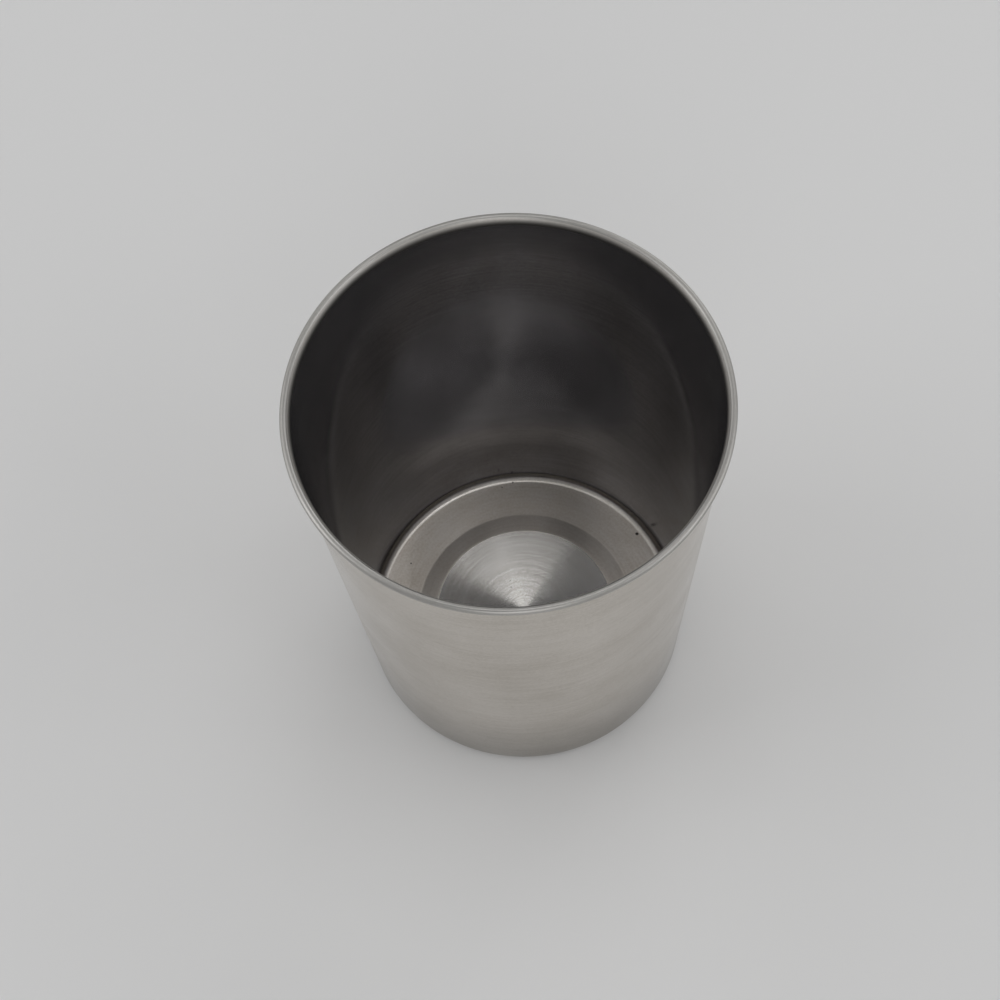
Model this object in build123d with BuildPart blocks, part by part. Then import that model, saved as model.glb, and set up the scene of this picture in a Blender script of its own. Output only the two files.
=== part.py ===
"""Deep drawn metal cup: a tapered tumbler pressed from one sheet, with a stepped floor and a rolled rim.

The cup is one sheet of even thickness, so its section is two lines that run side by side from the
middle of the floor to the cut edge of the rim: the inside face, and the outside face one sheet away.
Millimetres, +Z up, with the origin on the table at the middle of the base.
"""

from build123d import *

import os
from math import asin, atan2, cos, hypot, radians, sin, tan

# Driving dimensions
RIM_DIAMETER = 76.0  # over the outside of the rolled rim
HEIGHT = 90.5  # from the table to the crown of the rolled rim
BASE_DIAMETER = 64.5  # outside of the wall, carried straight down to the table
SHEET = 0.5  # thickness of the drawn sheet
LIP_RADIUS = 3.0  # inside face of the lip, where the wall turns out to the roll
LIP_TURN = 30.0  # how far the lip turns out, in degrees
ROLL_BORE = 0.3  # diameter of the hollow at the heart of the rolled rim
ROLL_SWEEP = 220.0  # how far the rim is rolled over past the lip, in degrees
CORNER_RADIUS = 1.6  # inside radius between the floor and the wall
MIDDLE_DIAMETER = 37.4  # raised middle of the floor, out to the top of its step
STEP_WIDTH = 3.7  # level distance from the top of the step to its foot
STEP_RISE = 0.5  # height of the raised middle above the floor round it
STEP_BEND = 4.0  # radius of the press tool at both bends of the step

# Rolled rim, whose outside is the lip's inside face carried on
roll_radius = ROLL_BORE / 2 + SHEET
bore_radius = ROLL_BORE / 2
roll_x = RIM_DIAMETER / 2 - roll_radius
roll_z = HEIGHT - roll_radius

# Draft of the wall, which runs straight from the base diameter to the lip and is tangent to it
lip_turn = radians(LIP_TURN)
lip_gap = LIP_RADIUS - roll_radius  # from the middle of the lip's arc to the middle of the roll
wall_gap = LIP_RADIUS - SHEET - lip_gap * cos(lip_turn)  # from there square to the wall's outside
run = roll_x - BASE_DIAMETER / 2
draft = atan2(run, roll_z) - asin(wall_gap / hypot(run, roll_z))

# Middle of the lip's arc, and the ends of the straight wall on its inside and outside
lip_x = roll_x + lip_gap * cos(draft + lip_turn)
lip_z = roll_z - lip_gap * sin(draft + lip_turn)
outer_lip = LIP_RADIUS - SHEET
wall_top = (lip_x - LIP_RADIUS * cos(draft), lip_z + LIP_RADIUS * sin(draft))
outer_wall_top = (lip_x - outer_lip * cos(draft), lip_z + outer_lip * sin(draft))

# Corners of the inside face, each still sharp
middle_x = MIDDLE_DIAMETER / 2
foot_x = middle_x + STEP_WIDTH
floor_x = BASE_DIAMETER / 2 - SHEET * (1 - sin(draft)) / cos(draft)

# The slope of the step moves the same corners of the outside face towards the axis
shift = SHEET * tan(atan2(STEP_RISE, STEP_WIDTH) / 2)

with BuildPart() as cup:
    with BuildSketch(Plane.XZ) as section:
        with BuildLine() as outline:
            inside_face = FilletPolyline(
                (0, SHEET + STEP_RISE),
                (middle_x, SHEET + STEP_RISE),
                (foot_x, SHEET),
                (floor_x, SHEET),
                wall_top,
                radius=[STEP_BEND + SHEET, STEP_BEND, CORNER_RADIUS],
            )
            lip = JernArc(inside_face @ 1, inside_face % 1, LIP_RADIUS, -LIP_TURN)
            roll = JernArc(lip @ 1, lip % 1, roll_radius, -ROLL_SWEEP)
            outside_face = FilletPolyline(
                (0, STEP_RISE),
                (middle_x - shift, STEP_RISE),
                (foot_x - shift, 0),
                (BASE_DIAMETER / 2, 0),
                outer_wall_top,
                radius=[STEP_BEND, STEP_BEND + SHEET, CORNER_RADIUS + SHEET],
            )
            lip_back = JernArc(outside_face @ 1, outside_face % 1, outer_lip, -LIP_TURN)
            bore = JernArc(lip_back @ 1, lip_back % 1, bore_radius, -ROLL_SWEEP)
            cut_edge = Line(roll @ 1, bore @ 1)
            axis_line = Line(inside_face @ 0, outside_face @ 0)
        make_face()
    revolve(axis=Axis.Z)
cup.part.label = "cup"

os.makedirs("parts", exist_ok=True)
export_step(cup.part, "parts/cup.step")
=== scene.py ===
"""Studio scene of a deep drawn stainless steel cup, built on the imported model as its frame."""

import logging
from dataclasses import dataclass
from enum import IntEnum
from math import asin, atan2, cos, hypot, pi, radians, sin, tan
from typing import Any

import bpy
import numpy as np
from mathutils import Matrix, Vector


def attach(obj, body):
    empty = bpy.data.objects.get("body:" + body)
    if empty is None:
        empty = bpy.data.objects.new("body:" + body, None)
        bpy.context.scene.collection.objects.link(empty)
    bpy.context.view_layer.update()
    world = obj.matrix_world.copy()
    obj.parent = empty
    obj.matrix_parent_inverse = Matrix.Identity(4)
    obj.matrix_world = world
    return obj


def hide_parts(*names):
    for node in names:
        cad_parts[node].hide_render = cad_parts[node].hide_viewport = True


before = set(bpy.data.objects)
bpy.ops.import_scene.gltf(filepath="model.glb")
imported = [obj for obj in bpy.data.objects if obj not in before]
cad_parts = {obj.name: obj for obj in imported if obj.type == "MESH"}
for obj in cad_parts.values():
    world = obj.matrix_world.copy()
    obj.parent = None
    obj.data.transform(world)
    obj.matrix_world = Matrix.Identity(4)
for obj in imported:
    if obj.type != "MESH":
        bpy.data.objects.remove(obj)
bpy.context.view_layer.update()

log = logging.getLogger("cup")

Socket = bpy.types.NodeSocket
Tree = bpy.types.NodeTree

MM = 0.001  # metres in a millimetre
PHOTO_SIDE = 1000  # pixels on each side of the picture that the camera was fitted to
SHARP_ANGLE = 40.0  # degrees between faces past which an edge is drawn sharp

# The sRGB curve is straight below its knee and a power above it.
SRGB_KNEE = 0.04045
SRGB_SLOPE = 12.92
SRGB_OFFSET = 0.055
SRGB_POWER = 2.4

# Sockets of the Mix node for its two colours and for what comes of them.
MIX_FIRST, MIX_SECOND, MIX_RESULT = 6, 7, 2

# Patterns in the steel. Octaves are the finer and finer copies that a noise adds to itself.
LINE_OCTAVES = 3.0
PATCH_MM = 14.0  # size of the patches that washing and handling leave
PATCH_OCTAVES = 4.0
PATCH_GAIN = 0.6  # strength of each octave as a share of the one before it
GRIT_MM = 0.5  # size of the fine pits, drawn coarser than the real ones so that they show
GRIT_OCTAVES = 1.0
WEAR_SPREAD = 0.25  # how far the wear strays from its mean between clean and stained metal
MARK_HEIGHT_MM = 0.02  # height of a tool mark at full depth
SPECK_CORE = 0.6  # share of a speck's radius that is fully dark
SPECK_SHADE = 0.08  # brightness left in a speck's core
LEVEL = (1, 1, 0)  # a place times this has its height taken out


class Zone(IntEnum):
    """Parts of the skin with a finish of their own, in the order of the mesh's material slots."""

    MIDDLE = 0
    STEP = 1
    RING = 2
    CORNER = 3
    INSIDE = 4
    LIP = 5
    RIM = 6
    OUTSIDE = 7
    UNDERSIDE = 8


class Grain(IntEnum):
    """The way in which the tool marks of a finish run."""

    ROUND_THE_WALL = 0
    ROUND_THE_FLOOR = 1


def linear(hex_colour: str) -> tuple[float, float, float, float]:
    """Turns an sRGB hex colour into linear light.

    Args:
        hex_colour: six hex digits, red first.

    Returns:
        Linear red, green and blue, and an alpha of one.
    """
    s = np.array([int(hex_colour[i : i + 2], 16) for i in (0, 2, 4)]) / 255.0
    curve = ((s + SRGB_OFFSET) / (1 + SRGB_OFFSET)) ** SRGB_POWER
    light = np.where(s <= SRGB_KNEE, s / SRGB_SLOPE, curve)
    return (*(float(c) for c in light), 1.0)


def add_node(
    tree: Tree, kind: str, sockets: dict[str | int, Any] | None = None, **settings: Any
) -> bpy.types.Node:
    """Adds one node with its settings and links.

    Args:
        tree: the node tree that gets the node.
        kind: the node's type name.
        sockets: input name or number to a plain value, or to the output socket that feeds it.
        settings: the node's own properties.

    Returns:
        The new node.
    """
    node = tree.nodes.new(kind)
    for name, value in settings.items():
        setattr(node, name, value)
    for key, value in (sockets or {}).items():
        if isinstance(value, Socket):
            tree.links.new(value, node.inputs[key])
        else:
            node.inputs[key].default_value = value
    return node


def bare_material(name: str) -> bpy.types.Material:
    """Makes a material with no nodes yet.

    Args:
        name: the material's name.

    Returns:
        The material.
    """
    made = bpy.data.materials.new(name)
    made.use_nodes = True
    made.node_tree.nodes.clear()
    return made


def mesh_object(name: str, points: np.ndarray, faces: list[np.ndarray]) -> bpy.types.Object:
    """Makes a mesh object at the origin, with its place in its points, smooth but for sharp edges.

    Args:
        name: the object's name.
        points: vertices, one row each, in metres.
        faces: arrays of vertex numbers, one row to a face, one array for each number of corners.

    Returns:
        The object, linked to the scene.
    """
    mesh = bpy.data.meshes.new(name)
    corners = np.concatenate([f.ravel() for f in faces]).astype(np.int32)
    counts = np.concatenate([np.full(len(f), f.shape[1]) for f in faces]).astype(np.int32)
    starts = np.concatenate([[0], np.cumsum(counts)[:-1]]).astype(np.int32)
    mesh.vertices.add(len(points))
    mesh.vertices.foreach_set("co", points.astype(np.float32).ravel())
    mesh.loops.add(len(corners))
    mesh.loops.foreach_set("vertex_index", corners)
    mesh.polygons.add(len(counts))
    mesh.polygons.foreach_set("loop_start", starts)
    mesh.polygons.foreach_set("use_smooth", np.ones(len(counts), dtype=bool))
    mesh.update(calc_edges=True)
    mesh.validate()
    mesh.set_sharp_from_angle(angle=radians(SHARP_ANGLE))
    made = bpy.data.objects.new(name, mesh)
    bpy.context.scene.collection.objects.link(made)
    return made


@dataclass(frozen=True)
class Speck:
    """A dark pit or burnt-in crumb in the steel, at a place on the floor. Millimetres."""

    x: float
    y: float
    radius: float


@dataclass(frozen=True)
class PaintedShade:
    """Painted shade: a change of brightness between two heights in millimetres, with the share kept
    at each.
    """

    low: float
    high: float
    low_share: float
    high_share: float


@dataclass(frozen=True)
class SteelFinish:
    """Stainless steel sheet with the marks of one way of working it.

    Stainless steel is a warm grey mirror. Rolling, drawing and turning leave fine marks round the
    axis, which blur what it mirrors across them more than along them.
    """

    name: str
    grain: Grain
    colour: str  # of the clean metal
    stain: str  # of handled and washed patches
    roughness: float
    haze: float  # how much rougher the worn places are
    anisotropy: float
    line_mm: float  # spacing of the tool marks, drawn coarser than real ones so that they show
    line_reach_mm: float  # how far one mark runs before it fades
    line_depth: float  # share of the bump's full height
    line_show: float  # how far the marks tint the metal, as a share of the patches
    grit_show: float  # how far the grit tints it, as a share of the patches
    specks: tuple[Speck, ...] = ()
    painted_shade: PaintedShade | None = None  # painted shade: where it is darker low down or high up
    film: float = 0.0  # share of the face under a dry film, which scatters light

    def tool_marks(self, tree: Tree, level: Socket, height: Socket) -> Socket:
        """Adds the tool marks as noise on stretched coordinates.

        The coordinates are slow in x and y, and fast in height on the wall or in radius on the
        floor, so that the marks run round the axis with no seam.

        Args:
            tree: the material's nodes.
            level: the place with its height taken out.
            height: the height alone.

        Returns:
            The marks, from 0 to 1.
        """
        across = height
        if self.grain is Grain.ROUND_THE_FLOOR:
            radius = add_node(tree, "ShaderNodeVectorMath", {0: level}, operation="LENGTH")
            across = radius.outputs["Value"]
        slow, fast = 1 / (self.line_reach_mm * MM), 1 / (self.line_mm * MM)
        along = add_node(tree, "ShaderNodeVectorMath", {0: level, "Scale": slow}, operation="SCALE")
        step = add_node(tree, "ShaderNodeMath", {0: across, 1: fast}, operation="MULTIPLY")
        lift = add_node(tree, "ShaderNodeCombineXYZ", {"Z": step.outputs[0]})
        terms = {0: along.outputs[0], 1: lift.outputs[0]}
        stretched = add_node(tree, "ShaderNodeVectorMath", terms, operation="ADD")
        lines = {"Vector": stretched.outputs[0], "Scale": 1.0, "Detail": LINE_OCTAVES}
        return add_node(tree, "ShaderNodeTexNoise", lines).outputs[0]

    def wear(self, tree: Tree, place: Socket, marks: Socket) -> Socket:
        """Adds the wear: patches, tool marks and grit together, spread about their mean.

        Args:
            tree: the material's nodes.
            place: the point on the skin.
            marks: the tool marks.

        Returns:
            The wear, from 0 on clean metal to 1 where it is stained most.
        """
        patches = {
            "Vector": place,
            "Scale": 1 / (PATCH_MM * MM),
            "Detail": PATCH_OCTAVES,
            "Roughness": PATCH_GAIN,
        }
        grit = {"Vector": place, "Scale": 1 / (GRIT_MM * MM), "Detail": GRIT_OCTAVES}
        total = add_node(tree, "ShaderNodeTexNoise", patches).outputs[0]
        pits = add_node(tree, "ShaderNodeTexNoise", grit).outputs[0]
        for part, share in ((marks, self.line_show), (pits, self.grit_show)):
            terms = {0: part, 1: share, 2: total}
            total = add_node(tree, "ShaderNodeMath", terms, operation="MULTIPLY_ADD").outputs[0]
        mean = (1 + self.line_show + self.grit_show) / 2
        spread = {"Value": total, "From Min": mean - WEAR_SPREAD, "From Max": mean + WEAR_SPREAD}
        return add_node(tree, "ShaderNodeMapRange", spread).outputs[0]

    def tint(self, tree: Tree, wear: Socket, level: Socket, height: Socket) -> Socket:
        """Adds the colour: clean metal mixed with stain by the wear, darker in the painted shade
        and in the specks.

        Args:
            tree: the material's nodes.
            wear: from 0 to 1.
            level: the place with its height taken out.
            height: the height alone.

        Returns:
            The colour.
        """
        ends = {0: wear, MIX_FIRST: linear(self.colour), MIX_SECOND: linear(self.stain)}
        colour = add_node(tree, "ShaderNodeMix", ends, data_type="RGBA").outputs[MIX_RESULT]
        shades = []
        # The fade is painted shade, darker with height where shade falls; the specks are real pits.
        if self.painted_shade:
            span = {
                "Value": height,
                "From Min": self.painted_shade.low * MM,
                "From Max": self.painted_shade.high * MM,
                "To Min": self.painted_shade.low_share,
                "To Max": self.painted_shade.high_share,
            }
            painted_slope = add_node(tree, "ShaderNodeMapRange", span, interpolation_type="SMOOTHSTEP")
            shades.append(painted_slope.outputs[0])
        for speck in self.specks:
            ends = {0: level, 1: (speck.x * MM, speck.y * MM, 0)}
            away = add_node(tree, "ShaderNodeVectorMath", ends, operation="DISTANCE")
            spot = {
                "Value": away.outputs["Value"],
                "From Min": SPECK_CORE * speck.radius * MM,
                "From Max": speck.radius * MM,
                "To Min": SPECK_SHADE,
                "To Max": 1.0,
            }
            shades.append(add_node(tree, "ShaderNodeMapRange", spot).outputs[0])
        for shade in shades:
            dimmed = {0: colour, "Scale": shade}
            colour = add_node(tree, "ShaderNodeVectorMath", dimmed, operation="SCALE").outputs[0]
        return colour

    def across_marks(self, tree: Tree, level: Socket) -> Socket:
        """Adds the direction in which the marks blur most: up the wall, or outwards on the floor.

        Args:
            tree: the material's nodes.
            level: the place with its height taken out.

        Returns:
            The direction.
        """
        if self.grain is Grain.ROUND_THE_WALL:
            return add_node(tree, "ShaderNodeCombineXYZ", {"Z": 1.0}).outputs[0]
        return add_node(tree, "ShaderNodeVectorMath", {0: level}, operation="NORMALIZE").outputs[0]

    def material(self) -> bpy.types.Material:
        """Builds the finish as nodes.

        Returns:
            The material.
        """
        made = bare_material(self.name)
        tree = made.node_tree
        place = add_node(tree, "ShaderNodeTexCoord").outputs["Object"]
        flat = {0: place, 1: LEVEL}
        level = add_node(tree, "ShaderNodeVectorMath", flat, operation="MULTIPLY").outputs[0]
        height = add_node(tree, "ShaderNodeSeparateXYZ", {0: place}).outputs["Z"]
        marks = self.tool_marks(tree, level, height)
        wear = self.wear(tree, place, marks)
        blur = {"Value": wear, "To Min": self.roughness, "To Max": self.roughness + self.haze}
        relief = {"Height": marks, "Strength": self.line_depth, "Distance": MARK_HEIGHT_MM * MM}
        steel = {
            "Base Color": self.tint(tree, wear, level, height),
            "Metallic": 1 - self.film,
            "Roughness": add_node(tree, "ShaderNodeMapRange", blur).outputs[0],
            "Anisotropic": self.anisotropy,
            "Tangent": self.across_marks(tree, level),
            "Normal": add_node(tree, "ShaderNodeBump", relief).outputs[0],
        }
        shader = add_node(tree, "ShaderNodeBsdfPrincipled", steel)
        add_node(tree, "ShaderNodeOutputMaterial", {"Surface": shader.outputs[0]})
        return made


FLOOR_SPECKS = (
    Speck(x=25.3, y=15.65, radius=0.42),
    Speck(x=-0.29, y=30.44, radius=0.24),
    Speck(x=-2.7, y=29.45, radius=0.16),
    Speck(x=-2.49, y=5.53, radius=0.17),
    Speck(x=-2.6, y=6.93, radius=0.15),
    Speck(x=-23.41, y=13.16, radius=0.2),
)

FINISHES = {
    # Turned stainless steel: fine rings from the tool make a fan of light on the raised middle.
    Zone.MIDDLE: SteelFinish(
        name="turned_steel_middle",
        grain=Grain.ROUND_THE_FLOOR,
        colour="f1efeb",
        stain="d3cfc9",
        roughness=0.24,
        haze=0.03,
        anisotropy=1.0,
        line_mm=0.4,
        line_reach_mm=22.0,
        line_depth=0.03,
        line_show=0.8,
        grit_show=0.5,
        specks=FLOOR_SPECKS,
    ),
    # Pressed stainless steel: the die has evened out the step, which shows as one plain grey band.
    Zone.STEP: SteelFinish(
        name="pressed_steel_step",
        grain=Grain.ROUND_THE_FLOOR,
        colour="ece6dd",
        stain="dcd4c9",
        roughness=0.32,
        haze=0.08,
        anisotropy=0.4,
        line_mm=0.5,
        line_reach_mm=10.0,
        line_depth=0.1,
        line_show=0.6,
        grit_show=0.5,
    ),
    # Turned stainless steel, worn and a little stained: a warm satin with faint rings.
    Zone.RING: SteelFinish(
        name="turned_steel_floor",
        grain=Grain.ROUND_THE_FLOOR,
        colour="e4ded6",
        stain="cdc4b8",
        roughness=0.3,
        haze=0.08,
        anisotropy=0.5,
        line_mm=0.6,
        line_reach_mm=6.0,
        line_depth=0.15,
        line_show=0.6,
        grit_show=0.6,
        specks=FLOOR_SPECKS,
    ),
    # Drawn stainless steel, stretched to a satin by the punch: a soft bright line round the floor.
    # The line is a reflection, and a near-white colour strengthens it as a painted highlight.
    # Painted shade darkens it up towards the wall.
    Zone.CORNER: SteelFinish(
        name="drawn_steel_corner",
        grain=Grain.ROUND_THE_WALL,
        # near-white, lighter than the floor beside it: painted highlight strengthening the bright
        # line
        colour="f2eee8",
        stain="e2dbd1",
        roughness=0.3,
        haze=0.08,
        anisotropy=0.2,
        line_mm=0.4,
        line_reach_mm=8.0,
        line_depth=0.1,
        line_show=0.6,
        grit_show=0.6,
        specks=FLOOR_SPECKS,
        # painted shade: darker from the floor up towards the wall
        painted_shade=PaintedShade(low=0.8, high=2.1, low_share=1.0, high_share=0.4),
    ),
    # Drawn stainless steel, polished round the axis and filmed by drinks that dried on it: a mirror
    # under a thin veil, its colour darker than the same steel outside as painted shade for the deep
    # inside.
    Zone.INSIDE: SteelFinish(
        name="drawn_steel_inside",
        grain=Grain.ROUND_THE_WALL,
        # darker than the same steel outside: painted shade for the deep inside
        colour="979699",
        stain="878587",
        roughness=0.12,
        haze=0.05,
        anisotropy=0.4,
        line_mm=0.5,
        line_reach_mm=18.0,
        line_depth=0.1,
        line_show=0.7,
        grit_show=0.5,
        film=0.1,
    ),
    # Stretched stainless steel, left matt inside the lip by the roller: it takes light from all
    # sides, and painted shade darkens it down to the wall.
    Zone.LIP: SteelFinish(
        name="stretched_steel_lip",
        grain=Grain.ROUND_THE_WALL,
        colour="e2dfda",
        stain="d4d0ca",
        roughness=0.48,
        haze=0.08,
        anisotropy=0.2,
        line_mm=0.3,
        line_reach_mm=10.0,
        line_depth=0.1,
        line_show=0.4,
        grit_show=0.4,
        # painted shade: darker down the lip towards the dark inside
        painted_shade=PaintedShade(low=88.9, high=90.2, low_share=0.2, high_share=1.0),
    ),
    # Rolled stainless steel, burnished to a satin by the roller: soft lines of light round the rim.
    Zone.RIM: SteelFinish(
        name="rolled_steel_rim",
        grain=Grain.ROUND_THE_WALL,
        colour="bab8b5",
        stain="afada9",
        roughness=0.33,
        haze=0.06,
        anisotropy=0.2,
        line_mm=0.3,
        line_reach_mm=10.0,
        line_depth=0.1,
        line_show=0.4,
        grit_show=0.4,
    ),
    # Drawn stainless steel, polished and then dulled by handling: a hazy mirror with fine lines
    # round it, darkened towards the table by painted shade for the table's shadow mirrored in the
    # foot.
    Zone.OUTSIDE: SteelFinish(
        name="drawn_steel_outside",
        grain=Grain.ROUND_THE_WALL,
        colour="d1cbc3",
        stain="beb7ad",
        roughness=0.12,
        haze=0.06,
        anisotropy=0.5,
        line_mm=0.4,
        line_reach_mm=14.0,
        line_depth=0.15,
        line_show=0.8,
        grit_show=0.6,
        # painted shade: darker towards the table, for the table's shadow mirrored in the foot
        painted_shade=PaintedShade(low=0.0, high=32.0, low_share=0.6, high_share=1.0),
    ),
    # Pressed stainless steel as it left the die: a plain satin grey.
    Zone.UNDERSIDE: SteelFinish(
        name="pressed_steel_underside",
        grain=Grain.ROUND_THE_FLOOR,
        colour="ccc8c1",
        stain="b6b0a7",
        roughness=0.28,
        haze=0.12,
        anisotropy=0.3,
        line_mm=0.5,
        line_reach_mm=10.0,
        line_depth=0.2,
        line_show=0.6,
        grit_show=0.6,
    ),
}


@dataclass(frozen=True)
class Wave:
    """One slow wave in the drawn wall."""

    count: int  # full waves round the axis
    drift: float  # radians that it turns on the way up the wall
    start: float  # radians
    share: float  # of the waves' mean depth


WALL_WAVES = (
    Wave(count=3, drift=2.1, start=0.4, share=0.38),
    Wave(count=5, drift=-3.7, start=1.9, share=0.27),
    Wave(count=8, drift=6.0, start=0.7, share=0.2),
    Wave(count=11, drift=-8.5, start=0.0, share=0.15),
)


@dataclass
class DrawnCup:
    """The cup: one sheet turned round the axis, from mid floor to rolled rim. Millimetres."""

    rim_diameter: float = 75.98  # this and the height stay a hundredth inside the solid
    height: float = 90.49
    base_diameter: float = 64.5
    sheet: float = 0.5
    lip_radius: float = 3.0
    lip_turn: float = 30.0  # degrees
    roll_bore: float = 0.3
    roll_sweep: float = 220.0  # degrees
    corner_radius: float = 1.6
    middle_diameter: float = 37.4
    step_width: float = 3.7
    step_rise: float = 0.5
    step_bend: float = 4.0
    wobble: float = 0.03  # mean depth of the waves in the wall
    still_foot: float = 12.0  # height over which the waves start above the table
    still_rim: float = 8.0  # height over which they end below the rim
    segments: int = 360  # steps round the axis
    flat_rows: int = 7  # points along each flat part of the floor
    bend_rows: int = 9  # points round each bend of the step, and round the lip
    corner_rows: int = 17
    wall_rows: int = 41
    roll_rows: int = 41

    def bend(
        self, before: np.ndarray, corner: np.ndarray, after: np.ndarray, radius: float, rows: int
    ) -> np.ndarray:
        """Rounds one corner of the section.

        The arc is tangent to both straight runs: its ends lie radius times the tangent of half
        the turn from the corner, and its points turn evenly about the centre.

        Args:
            before: the point of the section before the corner, as radius and height.
            corner: the corner itself.
            after: the point after it.
            radius: of the arc.
            rows: number of points on the arc.

        Returns:
            Points of the arc, one row each.
        """
        u = (corner - before) / np.linalg.norm(corner - before)
        v = (after - corner) / np.linalg.norm(after - corner)
        turn = atan2(u[0] * v[1] - u[1] * v[0], float(u @ v))
        start = corner - u * radius * tan(abs(turn) / 2)
        arm = np.array([u[1], -u[0]]) * np.sign(turn) * radius
        t = np.linspace(0, turn, rows)[:, None]
        return start - arm + arm * np.cos(t) + np.array([-arm[1], arm[0]]) * np.sin(t)

    def straight(self, start: np.ndarray, end: np.ndarray, rows: int) -> np.ndarray:
        """Divides the line from start to end into even steps."""
        return start + (end - start) * np.linspace(0, 1, rows)[:, None]

    def arc(self, centre: np.ndarray, radius: float, angles: np.ndarray | float) -> np.ndarray:
        """Places a point at each angle about the centre, at the radius from it."""
        return centre + radius * np.stack([np.cos(angles), np.sin(angles)], -1)

    def section(self) -> list[tuple[np.ndarray, Zone]]:
        """Works out the closed section: from the axis up the inside to the rim, and back outside.

        The wall leans so that it is tangent to the lip, whose arc runs on into the roll. The
        outside face runs one sheet from the inside face, and so do the arcs at its corners.

        Returns:
            Stretches of the section in order, each with its points and its zone.
        """
        roll, bore = self.roll_bore / 2 + self.sheet, self.roll_bore / 2
        hub = np.array([self.rim_diameter / 2 - roll, self.height - roll])
        base, middle = self.base_diameter / 2, self.middle_diameter / 2
        foot = middle + self.step_width

        # Lean of the wall
        run = hub[0] - base
        lip_gap = self.lip_radius - roll
        outer_lip = self.lip_radius - self.sheet
        wall_gap = outer_lip - lip_gap * cos(radians(self.lip_turn))
        draft = atan2(run, hub[1]) - asin(wall_gap / hypot(run, hub[1]))

        # Lip and roll, whose hollow is so small that every second step will do
        lip_turn = pi - draft - radians(self.lip_turn) * np.linspace(0, 1, self.bend_rows)
        roll_turn = lip_turn[-1] - radians(self.roll_sweep) * np.linspace(0, 1, self.roll_rows)
        lip_hub = self.arc(hub, -lip_gap, lip_turn[-1])
        lip = self.arc(lip_hub, self.lip_radius, lip_turn)
        lip_back = self.arc(lip_hub, outer_lip, lip_turn[::-1])
        curl = self.arc(hub, roll, roll_turn)
        hollow = self.arc(hub, bore, roll_turn[::-2])

        # Corners of both faces, each still sharp
        floor = base - self.sheet * (1 - sin(draft)) / cos(draft)
        shift = self.sheet * tan(atan2(self.step_rise, self.step_width) / 2)
        rise, crown = self.step_rise, self.sheet + self.step_rise
        inside = np.array(
            [(0, crown), (middle, crown), (foot, self.sheet), (floor, self.sheet), lip[0]]
        )
        outside = np.array(
            [(0, rise), (middle - shift, rise), (foot - shift, 0), (base, 0), lip_back[-1]]
        )

        # Their bends
        top = self.bend(*inside[0:3], self.step_bend + self.sheet, self.bend_rows)
        toe = self.bend(*inside[1:4], self.step_bend, self.bend_rows)
        corner = self.bend(*inside[2:5], self.corner_radius, self.corner_rows)
        under_top = self.bend(*outside[0:3], self.step_bend, self.bend_rows)[::-1]
        under_toe = self.bend(*outside[1:4], self.step_bend + self.sheet, self.bend_rows)[::-1]
        heel = self.bend(*outside[2:5], self.corner_radius + self.sheet, self.corner_rows)[::-1]
        return [
            (self.straight(inside[0], top[0], self.flat_rows), Zone.MIDDLE),
            (top, Zone.STEP),
            (self.straight(top[-1], toe[0], self.flat_rows), Zone.STEP),
            (toe, Zone.STEP),
            (self.straight(toe[-1], corner[0], self.flat_rows), Zone.RING),
            (corner, Zone.CORNER),
            (self.straight(corner[-1], lip[0], self.wall_rows), Zone.INSIDE),
            (lip, Zone.LIP),
            (curl, Zone.RIM),
            (np.stack([curl[-1], hollow[0]]), Zone.RIM),
            (hollow, Zone.RIM),
            (lip_back, Zone.OUTSIDE),
            (self.straight(lip_back[-1], heel[0], self.wall_rows), Zone.OUTSIDE),
            (heel, Zone.OUTSIDE),
            (self.straight(heel[-1], under_toe[0], self.flat_rows), Zone.UNDERSIDE),
            (under_toe, Zone.UNDERSIDE),
            (self.straight(under_toe[-1], under_top[0], self.flat_rows), Zone.UNDERSIDE),
            (under_top, Zone.UNDERSIDE),
            (self.straight(under_top[-1], outside[0], self.flat_rows), Zone.UNDERSIDE),
        ]

    def radii(self, rings: np.ndarray, t: np.ndarray) -> np.ndarray:
        """Works out the radius of each ring at each angle.

        The wall is drawn in by a few hundredths of a millimetre in slow waves, as a drawn wall
        is, which bends what it mirrors. Their depth is the wobble, times one plus a sum of sines
        that turn with the angle and the height, and it falls to zero at the foot and the rim.

        Args:
            rings: points of the section, as radius and height.
            t: angles round the axis.

        Returns:
            Radii, one row to a ring.
        """
        z = rings[:, 1:]
        rise = z / self.height
        still = np.clip(z / self.still_foot, 0, 1)
        still = still * np.clip((self.height - z) / self.still_rim, 0, 1)
        sines = (w.share * np.sin(w.count * t + w.drift * rise + w.start) for w in WALL_WAVES)
        return rings[:, :1] - self.wobble * still * (1 + sum(sines))

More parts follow.
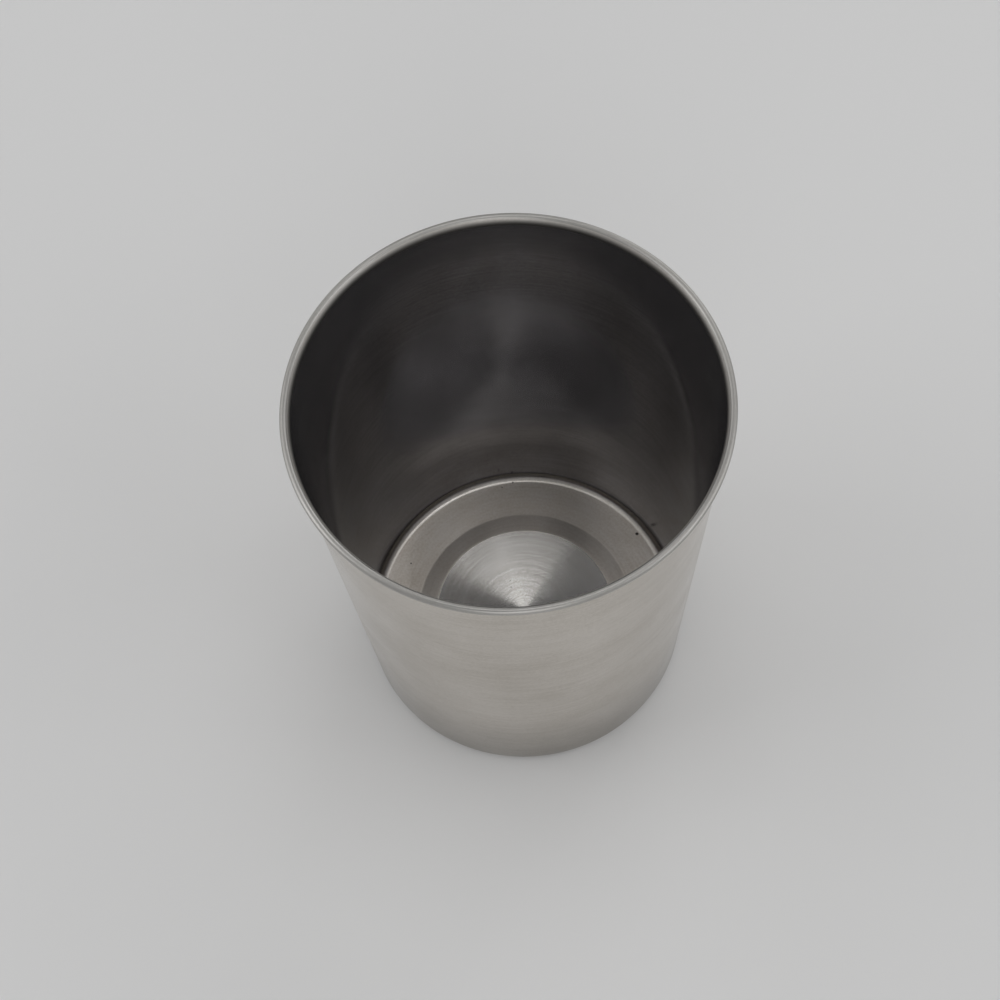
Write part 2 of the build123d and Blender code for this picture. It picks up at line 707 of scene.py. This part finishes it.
    def build(self) -> bpy.types.Object:
        """Turns the section round the axis.

        A point at radius r and height z becomes (r cos t, r sin t, z) at each angle t. The first
        and last points lie on the axis, and each closes the skin with a fan of triangles.

        Returns:
            The cup's skin as one closed mesh.
        """
        stretches = self.section()
        points = np.concatenate([p[1:] if i else p for i, (p, _) in enumerate(stretches)])
        zones = np.concatenate([np.full(len(p) - 1, zone) for p, zone in stretches])
        rings = points[1:-1]
        n, count = self.segments, len(rings)
        t = np.linspace(0, 2 * pi, n, endpoint=False)
        r = self.radii(rings, t)
        z = np.broadcast_to(rings[:, 1:], r.shape)
        grid = np.stack([r * np.cos(t), r * np.sin(t), z], -1).reshape(-1, 3)
        poles = np.array([[0, 0, points[0, 1]], [0, 0, points[-1, 1]]])
        j, i = np.meshgrid(np.arange(count - 1), np.arange(n), indexing="ij")
        k = (i + 1) % n
        quads = np.stack([j * n + i, (j + 1) * n + i, (j + 1) * n + k, j * n + k], -1)
        near, far = np.arange(n), (count - 1) * n + np.arange(n)
        floor_cap = np.stack([np.full(n, count * n), near, np.roll(near, -1)], -1)
        base_cap = np.stack([far, np.full(n, count * n + 1), np.roll(far, -1)], -1)
        faces = [quads.reshape(-1, 4), floor_cap, base_cap]
        made = mesh_object("cup_skin", np.concatenate([grid, poles]) * MM, faces)
        caps = [np.full(n, zones[0]), np.full(n, zones[-1])]
        face_zones = np.concatenate([np.repeat(zones[1:-1], n), *caps])
        made.data.polygons.foreach_set("material_index", face_zones.astype(np.int32))
        return made

    def dress(self, skin: bpy.types.Object) -> None:
        """Gives each zone of the skin its finish."""
        for zone in Zone:
            skin.data.materials.append(FINISHES[zone].material())

    def place(self) -> bpy.types.Object:
        """Builds and dresses the cup, and lets it stand for the solid in the frame.

        Returns:
            The cup's skin.
        """
        skin = self.build()
        self.dress(skin)
        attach(skin, "root")
        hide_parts("cup")
        return skin


@dataclass(frozen=True)
class Panel:
    """A soft light panel that faces the cup, placed by direction from it. Metres and degrees."""

    name: str
    azimuth: float  # from +X towards +Y
    elevation: float  # above the table
    width: float
    height: float
    glow: float  # brightness of its face
    distance: float = 0.9  # from the cup's middle
    aim_height: float = 0.04  # of the cup's middle above the table

    def place(self) -> bpy.types.Object:
        """Adds the panel, which lights and mirrors but isn't seen itself.

        Its power in watts is pi times its area times its glow, as for any face that shines evenly.

        Returns:
            The light object.
        """
        lamp = bpy.data.lights.new(self.name, "AREA")
        lamp.shape = "RECTANGLE"
        lamp.size, lamp.size_y = self.width, self.height
        lamp.energy = pi * self.width * self.height * self.glow
        made = bpy.data.objects.new(self.name, lamp)
        a, e = radians(self.azimuth), radians(self.elevation)
        aim = Vector((cos(e) * cos(a), cos(e) * sin(a), sin(e)))
        spot = Matrix.Translation(aim * self.distance + Vector((0, 0, self.aim_height)))
        made.matrix_world = spot @ aim.to_track_quat("Z", "Y").to_matrix().to_4x4()
        made.visible_camera = False
        bpy.context.scene.collection.objects.link(made)
        return made


# A ring of equal panels round the cup, which starts at +X. Metres and degrees.
RING_STEP = 30
RING_ELEVATION = 30
RING_WIDTH, RING_HEIGHT = 0.46, 0.8
RING_GLOW = (0.9, 0.39, 0.9, 0.23, 0.45, 0.58, 1.22, 0.23, 0.23, 1.02, 0.25, 0.85)
RING = tuple(
    Panel(
        name=f"ring_panel_{RING_STEP * i:03d}",
        azimuth=RING_STEP * i,
        elevation=RING_ELEVATION,
        width=RING_WIDTH,
        height=RING_HEIGHT,
        glow=glow,
    )
    for i, glow in enumerate(RING_GLOW)
)

PANELS = (
    *RING,
    Panel(name="key_panel", azimuth=59.5, elevation=81.7, width=0.426, height=0.34, glow=1.55),
    Panel(name="left_panel", azimuth=166, elevation=65, width=0.8, height=0.2, glow=0.5),
    Panel(name="front_panel", azimuth=280, elevation=56, width=0.8, height=0.2, glow=0.3),
)


@dataclass(frozen=True)
class CardFinish:
    """Matt card: pressed paper fibre, which scatters light evenly and has a faint tooth."""

    name: str = "matt_card"
    colour: str = "e6e6e6"
    roughness: float = 0.85
    fibre_mm: float = 1.5
    fibre_octaves: float = 3.0
    fibre_depth: float = 0.1  # share of the bump's full height
    tooth_mm: float = 0.05  # the bump's full height

    def material(self) -> bpy.types.Material:
        """Builds the card as nodes, its tooth from noise as coarse as its fibres.

        Returns:
            The material.
        """
        made = bare_material(self.name)
        tree = made.node_tree
        place = add_node(tree, "ShaderNodeTexCoord").outputs["Object"]
        weft = {"Vector": place, "Scale": 1 / (self.fibre_mm * MM), "Detail": self.fibre_octaves}
        fibre = add_node(tree, "ShaderNodeTexNoise", weft).outputs[0]
        tooth = {"Height": fibre, "Strength": self.fibre_depth, "Distance": self.tooth_mm * MM}
        card = {
            "Base Color": linear(self.colour),
            "Roughness": self.roughness,
            "Normal": add_node(tree, "ShaderNodeBump", tooth).outputs[0],
        }
        shader = add_node(tree, "ShaderNodeBsdfPrincipled", card)
        add_node(tree, "ShaderNodeOutputMaterial", {"Surface": shader.outputs[0]})
        return made


@dataclass
class Studio:
    """Pale card table, soft panels and the camera that looks down into the cup."""

    table_side: float = 6.0  # metres
    table_cells: int = 24
    sky_colour: str = "ffffff"
    sky: float = 0.15  # brightness of the dim room round the panels
    camera_reach: float = 342.88  # millimetres from the aim to the lens
    camera_rise: float = 64.867  # degrees above the table
    camera_pan: float = 0.4976  # degrees, as are the tilt and the roll
    camera_tilt: float = 1.1839
    camera_roll: float = 4.8119
    aim_height: float = 38.0  # millimetres above the table, on the axis
    focal_pixels: float = 1788.2
    sensor: float = 36.0  # millimetres across
    near_clip: float = 0.01  # metres

    def table(self) -> bpy.types.Object:
        """Lays the card: a level square grid at height zero.

        Returns:
            The table, which is stage and not part of the cup.
        """
        n = self.table_cells + 1
        side = np.linspace(-self.table_side / 2, self.table_side / 2, n)
        x, y = np.meshgrid(side, side, indexing="ij")
        grid = np.stack([x, y, np.zeros_like(x)], -1).reshape(-1, 3)
        j, i = np.meshgrid(np.arange(n - 1), np.arange(n - 1), indexing="ij")
        first = j * n + i
        quads = np.stack([first, first + n, first + n + 1, first + 1], -1).reshape(-1, 4)
        made = mesh_object("card_table", grid, [quads])
        made.data.materials.append(CardFinish().material())
        return made

    def room(self) -> None:
        """Sets a dim even room round the panels, shown with its light as it is."""
        world = bpy.data.worlds.new("dim_room")
        bpy.context.scene.world = world
        world.use_nodes = True
        tree = world.node_tree
        tree.nodes.clear()
        air = {"Color": linear(self.sky_colour), "Strength": self.sky}
        glow = add_node(tree, "ShaderNodeBackground", air)
        add_node(tree, "ShaderNodeOutputWorld", {"Surface": glow.outputs[0]})
        bpy.context.scene.view_settings.view_transform = "Standard"

    def camera(self) -> bpy.types.Object:
        """Places the camera at the fitted view.

        It looks at a point on the axis from its rise and reach, and is then panned, tilted and
        rolled about its own axes.

        Returns:
            The camera.
        """
        rise = radians(self.camera_rise)
        back, lift = self.camera_reach * cos(rise), self.camera_reach * sin(rise)
        eye = Vector((0, -back, lift + self.aim_height)) * MM
        ahead, right = Vector((0, cos(rise), -sin(rise))), Vector((1, 0, 0))
        up = right.cross(ahead)
        pan = Matrix.Rotation(radians(self.camera_pan), 3, up)
        ahead, right = pan @ ahead, pan @ right
        tilt = Matrix.Rotation(radians(self.camera_tilt), 3, right)
        ahead, up = tilt @ ahead, tilt @ up
        roll = Matrix.Rotation(radians(self.camera_roll), 3, ahead)
        right, up = roll @ right, roll @ up
        lens = bpy.data.cameras.new("camera")
        lens.sensor_width = self.sensor
        lens.lens = self.focal_pixels / PHOTO_SIDE * self.sensor
        lens.clip_start = self.near_clip
        made = bpy.data.objects.new("camera", lens)
        axes = Matrix((right, up, -ahead)).transposed().to_4x4()
        made.matrix_world = Matrix.Translation(eye) @ axes
        bpy.context.scene.collection.objects.link(made)
        bpy.context.scene.camera = made
        return made

    def build(self) -> None:
        """Sets up the table, the room, the panels and the camera, and reports each."""
        log.info("%s is %.1f m square", self.table().name, self.table_side)
        self.room()
        for panel in PANELS:
            log.info("%s glows at %.2f", panel.place().name, panel.glow)
        log.info("%s is %.0f mm from its aim", self.camera().name, self.camera_reach)


def main() -> None:
    """Builds the cup and its studio, and reports each piece."""
    logging.basicConfig(level=logging.INFO, format="%(name)s: %(message)s")
    skin = DrawnCup().place()
    log.info("%s has %d faces", skin.name, len(skin.data.polygons))
    Studio().build()


if __name__ == "__main__":
    main()
